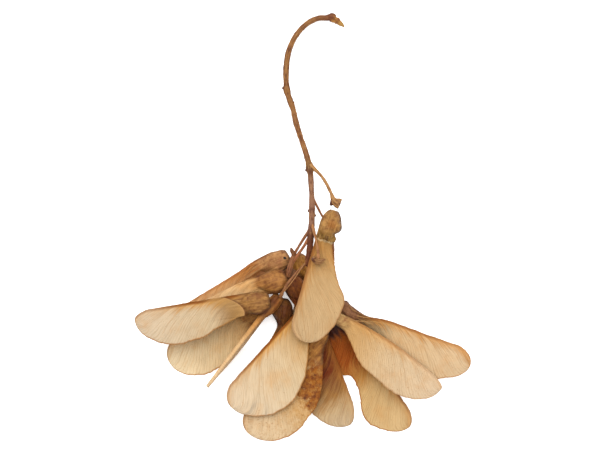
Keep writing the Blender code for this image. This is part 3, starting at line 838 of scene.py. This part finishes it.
def add_samara(samara, seed):
    upper, lower, maps = samara_surface(samara, seed)
    points, faces = closed_grid(upper, lower)
    if samara.trails_left:
        faces = faces[:, ::-1]  # this wing is mirrored, so its faces are turned to look outward
    maps = {layer: np.concatenate([values.reshape(-1, 2)] * 2) for layer, values in maps.items()}
    piece = mesh_object("fine_" + samara.name, points, faces, maps)
    piece.data.materials.append(samara_material(samara))
    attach(piece, "root")
    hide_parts(samara.name)


def twig_line(twig):
    """Ring centres, directions and radii along a twig, and for each ring its run, dark and lobes."""
    points = np.array(twig.points)
    gaps = np.linalg.norm(np.diff(points[:, :3], axis=0), axis=1)
    knots = np.concatenate([[0], np.cumsum(gaps)])
    run = np.linspace(0, knots[-1], int(knots[-1] / RING_STEP) + 4)
    centre = np.stack([smooth(run, knots, points[:, axis]) for axis in range(3)], axis=-1) + (*SHIFT, 0)
    radius = (STOUT if twig.pedicel else STALK_STOUT) * smooth(run, knots, points[:, 3])
    ahead = np.gradient(centre, axis=0)
    ahead = ahead / np.linalg.norm(ahead, axis=1, keepdims=True)
    dark = np.full(len(run) + 1, twig.dark)
    lobes = np.zeros(len(run) + 1)

    # A narrow ring before the first one, and the dome or bowl after the last
    outward, forward = np.array(BOWL if twig.cup else DOME).T
    end = centre[-1] + ahead[-1] * forward[:, None] * radius[-1]
    centre = np.concatenate([centre[:1], centre, end])
    radius = np.concatenate([[TWIG_START], radius, outward * radius[-1]])
    ahead = np.concatenate([ahead[:1], ahead, np.repeat(ahead[-1:], len(end), axis=0)])
    run = np.concatenate([run[:1], run, np.full(len(end), run[-1])])
    # the inside of a bowl gets the darkest colour, as painted shade
    inside = outward < BOWL_LIP if twig.cup else np.zeros(len(end), bool)
    dark = np.concatenate([dark, np.where(inside, 1.0, twig.dark)])
    lobes = np.concatenate([lobes, np.full(len(end), float(twig.cup))])
    return centre, ahead, radius, run, dark, lobes


def twig_surface(twig, seed):
    """Rings of points round a twig and, for the material, what is where on it."""
    centre, ahead, radius, run, dark, lobes = twig_line(twig)
    side = np.cross(ahead, (0, 0, 1))
    side = side / np.linalg.norm(side, axis=1, keepdims=True)
    above = np.cross(side, ahead)
    turn = 2 * math.pi * np.arange(TWIG_SIDES) / TWIG_SIDES
    runs, turns = np.meshgrid(run, turn, indexing="ij")
    around = np.abs(1 - turns / math.pi)
    wear = 0.1 + 0.1 * twig.dark
    uneven = 1 + twig.flutes * np.cos(6 * turns + 0.4 * np.sin(runs / 3))
    uneven = uneven + wear * grain(runs / 0.9, 2.5 * around, seed)
    uneven = uneven + lobes[:, None] * (0.07 * np.cos(5 * turns) - 0.08 * np.cos(2 * turns))
    out = (radius[:, None] * uneven)[..., None]
    sideways = np.sin(turns)[..., None] * side[:, None, :]
    upward = -np.cos(turns)[..., None] * above[:, None, :]
    rings = centre[:, None, :] + out * (sideways + upward)
    rings[..., 2] = np.maximum(rings[..., 2], 0)
    same = np.ones_like(runs)
    maps = {
        "run": np.stack([runs, around], axis=-1),
        "kind": np.stack([runs / run[-1], twig.pedicel * same], axis=-1),
        # wear holds the dark share, which inside a bowl is painted shade, and the red share
        "wear": np.stack([dark[:, None] * same, twig.red * same], axis=-1),
    }
    return rings, maps


def end_faces(ring):
    """Quads across the ring at the end of a tube."""
    half = TWIG_SIDES // 2
    back = ring[::-1]
    return np.stack([ring[:half - 1], ring[1:half], back[1:half], back[:half - 1]], axis=-1)


def tube_faces(rings):
    """Quads round a tube and across its ends, all looking outward."""
    number = np.arange(rings[..., 0].size).reshape(rings.shape[:2])
    ahead = np.roll(number, -1, axis=1)
    sides = np.stack([number[:-1], number[1:], ahead[1:], ahead[:-1]], axis=-1).reshape(-1, 4)
    return np.concatenate([sides, end_faces(number[0]), end_faces(number[-1])[:, ::-1]])


def scar_twig(x, y, z, reach):
    """A short dark stub that stands out to the side of the stalk."""
    points = ((x, y, z, 0.5), (x + 0.7 * reach, y + 0.02, z, 0.44), (x + reach, y - 0.1, z, 0.3))
    return Twig(points, pedicel=0.0, dark=0.8)


def stem_material():
    """Woody stalk that changes colour along its length, and paler or redder pedicels."""
    graph = Graph("stem")
    run, around = graph.uv("run")
    share, pedicel = graph.uv("kind")
    dark, red = graph.uv("wear")
    streak = graph.streaks(run, 0.4, around, 5.0, 4, 0.6)
    fleck = graph.noise(graph.spot_mm(), 2.0, 3, 0.65)
    stalk = graph.ramp(share, (
        (0.0, (178, 136, 76)), (0.022, (172, 126, 66)), (0.032, (136, 84, 48)), (0.044, (168, 116, 60)),
        (0.056, (108, 62, 42)), (0.12, (138, 94, 56)), (0.4, (136, 92, 54)), (0.62, (138, 92, 56)),
        (0.67, (104, 72, 46)), (0.72, (146, 104, 76)), (0.86, (134, 94, 72)), (0.9, (98, 60, 42)),
        (1.0, (112, 64, 42))))
    twig = graph.mix(red, linear((176, 128, 78)), linear((148, 84, 56)))
    colour = graph.mix(pedicel, stalk, twig)
    colour = graph.paint(graph.range(streak, 0.47, 0.62, 0.0, 0.75), colour, (88, 50, 28))
    colour = graph.paint(graph.range(streak, 0.3, 0.46, 0.5, 0.0), colour, (180, 134, 78))
    colour = graph.paint(graph.range(fleck, 0.6, 0.72, 0.0, 0.6), colour, (74, 42, 26))
    # dark is a twig's own darker colour and, inside a bowl, painted shade
    colour = graph.paint(graph.times(dark, 0.8), colour, (84, 50, 32))
    height = graph.math("MULTIPLY_ADD", streak, 1.0, graph.times(fleck, 0.6))
    bump = graph.add("ShaderNodeBump", {"Height": height, "Distance": 0.00025, "Strength": 0.7})
    return graph.finish(graph.add("ShaderNodeBsdfPrincipled", {
        "Base Color": colour, "Roughness": 0.6, "Normal": bump, "Specular IOR Level": 0.2}))


def add_stem():
    twigs = [STALK, *PEDICELS]
    for scar in SCARS:
        twigs.append(scar_twig(*scar))
    points, faces, maps = [], [], {"run": [], "kind": [], "wear": []}
    count = 0
    for number, twig in enumerate(twigs):
        rings, twig_maps = twig_surface(twig, TWIG_SEED + number)
        points.append(rings.reshape(-1, 3))
        faces.append(tube_faces(rings) + count)
        count = count + rings[..., 0].size
        for layer, values in twig_maps.items():
            maps[layer].append(values.reshape(-1, 2))
    maps = {layer: np.concatenate(values) for layer, values in maps.items()}
    piece = mesh_object("fine_stem", np.concatenate(points), np.concatenate(faces), maps)
    piece.data.materials.append(stem_material())
    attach(piece, "root")
    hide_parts("stem")


def add_floor():
    bpy.ops.mesh.primitive_plane_add(size=3)
    floor = bpy.context.object
    floor.name = "floor"
    floor.location.z = -0.0001
    graph = Graph("floor")
    surface = graph.add("ShaderNodeBsdfPrincipled", {
        "Base Color": (0.93, 0.93, 0.93, 1), "Roughness": 0.9,
        "Emission Color": (1, 1, 1, 1), "Emission Strength": 0.45})
    floor.data.materials.append(graph.finish(surface))


def add_light(name, location, size, power):
    """A square light that shines at the middle of the bunch."""
    data = bpy.data.lights.new(name, "AREA")
    data.size = size
    data.energy = power
    light = bpy.data.objects.new(name, data)
    bpy.context.scene.collection.objects.link(light)
    light.location = location
    aim = -light.location
    light.rotation_euler = aim.to_track_quat("-Z", "Y").to_euler()


def set_world():
    world = bpy.data.worlds.new("studio")
    world.use_nodes = True
    background = world.node_tree.nodes["Background"]
    background.inputs["Color"].default_value = (1, 1, 1, 1)
    background.inputs["Strength"].default_value = 0.66
    bpy.context.scene.world = world
    bpy.context.scene.view_settings.view_transform = "Standard"


def add_camera():
    """The camera looks straight down at the bunch."""
    data = bpy.data.cameras.new("camera")
    data.lens = 135
    data.sensor_width = 36
    camera = bpy.data.objects.new("camera", data)
    bpy.context.scene.collection.objects.link(camera)
    camera.location = (0.00074, -0.00073, 0.6426)
    bpy.context.scene.camera = camera


for number, samara in enumerate(SAMARAS):
    add_samara(samara, 100 * number)
add_stem()
add_floor()
add_light("top_light", (-0.1, 0.38, 0.8), 1.0, 12.4)
add_light("fill_light", (0.35, -0.5, 0.6), 0.6, 2.2)
set_world()
add_camera()
